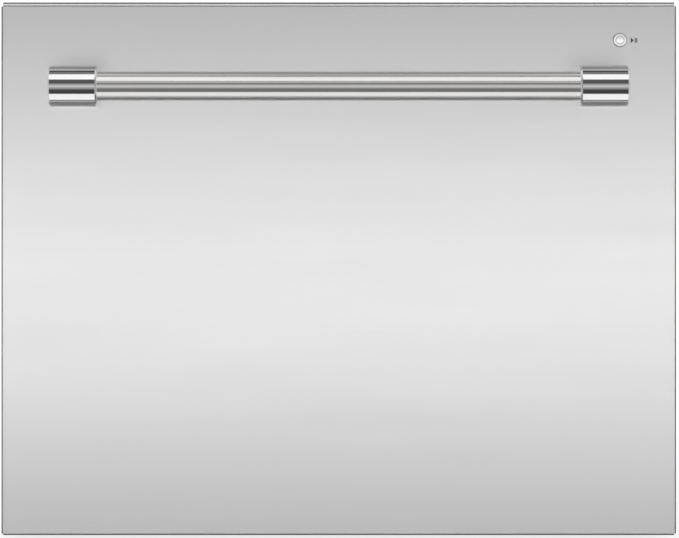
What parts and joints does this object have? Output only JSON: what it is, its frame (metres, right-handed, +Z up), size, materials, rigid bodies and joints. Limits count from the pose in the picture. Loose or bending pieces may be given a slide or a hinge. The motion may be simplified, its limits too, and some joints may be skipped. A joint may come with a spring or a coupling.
{
  "type": "dishwasher drawer",
  "caption": "Built-in dishwasher drawer with a brushed steel front, round bar handle, tub on telescopic runners, dropping lid, dish rack and spray arm.",
  "frame": {"origin": "middle of the footprint, at floor level under the levelling feet", "axes": "+X to the right seen from the front, +Y from the front panel to the rear, +Z up"},
  "size_m": [0.599, 0.636, 0.4783],
  "materials": {
    "brushed_front": "satin stainless steel with a horizontal grain",
    "brushed_bar": "finely ground stainless steel, close to a polish",
    "polished_steel": "mirror polish",
    "zinc_sheet": "zinc-coated steel sheet, semi-matte",
    "runner_steel": "bright zinc-plated rolled steel",
    "filter_steel": "perforated stainless sheet",
    "tub_plastic": "light grey polypropylene, semi-gloss",
    "grey_plastic": "mid grey moulded plastic",
    "dark_plastic": "black moulded plastic",
    "basket_plastic": "blue-grey moulded plastic",
    "rack_coat": "nylon-coated steel wire, satin",
    "seal_rubber": "soft matte rubber",
    "pad_felt": "dark bitumen felt"
  },
  "bodies": {
    "chassis": {"chassis_side_left": "zinc_sheet", "chassis_side_right": "zinc_sheet", "chassis_rear_panel": "zinc_sheet", "chassis_top_panel": "zinc_sheet", "chassis_base_pan": "zinc_sheet", "mounting_bracket_left": "zinc_sheet", "mounting_bracket_right": "zinc_sheet", "power_inlet_gland": "dark_plastic", "water_inlet_valve": "dark_plastic", "drain_outlet": "dark_plastic", "runner_left_outer": "runner_steel", "runner_right_outer": "runner_steel", "lid_actuator_left": "grey_plastic", "lid_actuator_right": "grey_plastic"},
    "drawer": {"tub": "tub_plastic", "front_skin": "brushed_front", "front_inner_frame": "grey_plastic", "front_sound_pad": "pad_felt", "control_strip": "grey_plastic", "control_module": "dark_plastic", "handle_bar": "brushed_bar", "handle_post_left": "polished_steel", "handle_post_right": "polished_steel", "runner_left_inner": "runner_steel", "runner_right_inner": "runner_steel", "filter_plate": "filter_steel", "spray_hub": "grey_plastic", "wash_motor": "dark_plastic", "drain_pump": "dark_plastic", "dispenser_body": "grey_plastic", "rack_floor": "rack_coat", "rack_wall_left": "rack_coat", "rack_wall_right": "rack_coat", "rack_wall_rear": "rack_coat", "rack_wall_front": "rack_coat", "cutlery_basket": "basket_plastic", "link_tub_bracket": "grey_plastic"},
    "runner_left_slider": {"runner_left_middle": "runner_steel"},
    "runner_right_slider": {"runner_right_middle": "runner_steel"},
    "link_rear": {"link_arm_rear": "dark_plastic"},
    "link_front": {"link_arm_front": "dark_plastic"},
    "lid": {"lid_panel": "tub_plastic", "lid_seal": "seal_rubber"},
    "spray_arm_body": {"spray_arm": "grey_plastic"},
    "drain_filter_body": {"drain_filter": "grey_plastic"},
    "plate_tines_outer_body": {"plate_tines_outer": "rack_coat"},
    "plate_tines_inner_body": {"plate_tines_inner": "rack_coat"},
    "bowl_tines_body": {"bowl_tines": "rack_coat"},
    "cup_shelf_left_body": {"cup_shelf_left": "rack_coat"},
    "cup_shelf_right_body": {"cup_shelf_right": "rack_coat"},
    "dispenser_door_body": {"dispenser_door": "grey_plastic"},
    "rinse_aid_cap_body": {"rinse_aid_cap": "dark_plastic"},
    "start_button_body": {"start_button": "polished_steel"},
    "control_key_1_body": {"control_key_1": "dark_plastic"},
    "control_key_2_body": {"control_key_2": "dark_plastic"},
    "control_key_3_body": {"control_key_3": "dark_plastic"},
    "foot_front_left_body": {"foot_front_left": "dark_plastic"},
    "foot_front_right_body": {"foot_front_right": "dark_plastic"},
    "foot_rear_left_body": {"foot_rear_left": "dark_plastic"},
    "foot_rear_right_body": {"foot_rear_right": "dark_plastic"}
  },
  "joints": [
    {"name": "drawer_slide", "type": "slide", "parent": "chassis", "child": "drawer", "axis": [0, -1, 0], "range_m": [0, 0.49]},
    {"name": "runner_left_extend", "type": "slide", "parent": "chassis", "child": "runner_left_slider", "axis": [0, -1, 0], "range_m": [0, 0.2455]},
    {"name": "runner_right_extend", "type": "slide", "parent": "chassis", "child": "runner_right_slider", "axis": [0, -1, 0], "range_m": [0, 0.2455]},
    {"name": "link_rear_swing", "type": "hinge", "parent": "chassis", "child": "link_rear", "pos_m": [0.2, 0.25317, 0.036], "axis": [0, 0, 1], "range_deg": [0, 42.1]},
    {"name": "link_front_knee", "type": "hinge", "parent": "link_rear", "child": "link_front", "pos_m": [-0.17366, 0.23358, 0.0485], "axis": [0, 0, 1], "range_deg": [-84.2, 0]},
    {"name": "lid_drop", "type": "slide", "parent": "chassis", "child": "lid", "axis": [0, 0, -1], "range_m": [0, 0.012]},
    {"name": "spray_arm_spin", "type": "hinge", "parent": "drawer", "child": "spray_arm_body", "pos_m": [0, 0.013, 0.1], "axis": [0, 0, 1], "continuous": true},
    {"name": "drain_filter_twist", "type": "hinge", "parent": "drawer", "child": "drain_filter_body", "pos_m": [-0.078, 0.013, 0.09], "axis": [0, 0, 1], "range_deg": [0, 90]},
    {"name": "plate_tines_outer_fold", "type": "hinge", "parent": "drawer", "child": "plate_tines_outer_body", "pos_m": [-0.1815, 0.013, 0.1274], "axis": [0, 1, 0], "range_deg": [0, 88]},
    {"name": "plate_tines_inner_fold", "type": "hinge", "parent": "drawer", "child": "plate_tines_inner_body", "pos_m": [-0.0605, 0.013, 0.1274], "axis": [0, 1, 0], "range_deg": [0, 88]},
    {"name": "bowl_tines_fold", "type": "hinge", "parent": "drawer", "child": "bowl_tines_body", "pos_m": [0.0605, 0.013, 0.1274], "axis": [0, 1, 0], "range_deg": [0, 88]},
    {"name": "cup_shelf_left_fold", "type": "hinge", "parent": "drawer", "child": "cup_shelf_left_body", "pos_m": [-0.2432, 0.013, 0.285], "axis": [0, -1, 0], "range_deg": [0, 88]},
    {"name": "cup_shelf_right_fold", "type": "hinge", "parent": "drawer", "child": "cup_shelf_right_body", "pos_m": [0.2432, 0.013, 0.285], "axis": [0, 1, 0], "range_deg": [0, 88]},
    {"name": "dispenser_door_flip", "type": "hinge", "parent": "drawer", "child": "dispenser_door_body", "pos_m": [-0.055, -0.192, 0.313], "axis": [-1, 0, 0], "range_deg": [0, 90]},
    {"name": "rinse_aid_cap_turn", "type": "hinge", "parent": "drawer", "child": "rinse_aid_cap_body", "pos_m": [0.014, -0.19, 0.347], "axis": [0, 1, 0], "range_deg": [0, 90]},
    {"name": "start_button_press", "type": "slide", "parent": "drawer", "child": "start_button_body", "axis": [0, 1, 0], "range_m": [0, 0.001], "stiffness_N_per_m": 300, "springref_m": -0.001},
    {"name": "control_key_1_press", "type": "slide", "parent": "drawer", "child": "control_key_1_body", "axis": [0, 0, -1], "range_m": [0, 0.001], "stiffness_N_per_m": 300, "springref_m": -0.001},
    {"name": "control_key_2_press", "type": "slide", "parent": "drawer", "child": "control_key_2_body", "axis": [0, 0, -1], "range_m": [0, 0.001], "stiffness_N_per_m": 300, "springref_m": -0.001},
    {"name": "control_key_3_press", "type": "slide", "parent": "drawer", "child": "control_key_3_body", "axis": [0, 0, -1], "range_m": [0, 0.001], "stiffness_N_per_m": 300, "springref_m": -0.001},
    {"name": "foot_front_left_screw", "type": "slide", "parent": "chassis", "child": "foot_front_left_body", "axis": [0, 0, -1], "range_m": [-0.008, 0.018]},
    {"name": "foot_front_right_screw", "type": "slide", "parent": "chassis", "child": "foot_front_right_body", "axis": [0, 0, -1], "range_m": [-0.008, 0.018]},
    {"name": "foot_rear_left_screw", "type": "slide", "parent": "chassis", "child": "foot_rear_left_body", "axis": [0, 0, -1], "range_m": [-0.008, 0.018]},
    {"name": "foot_rear_right_screw", "type": "slide", "parent": "chassis", "child": "foot_rear_right_body", "axis": [0, 0, -1], "range_m": [-0.008, 0.018]}
  ],
  "couplings": [
    {"joint": "runner_left_extend", "follows": "drawer_slide", "ratio": 0.5},
    {"joint": "runner_right_extend", "follows": "drawer_slide", "ratio": 0.5},
    {"joint": "link_rear_swing", "follows": "drawer_slide", "rad_per_m": 1.4959},
    {"joint": "link_front_knee", "follows": "drawer_slide", "rad_per_m": -2.9918}
  ]
}
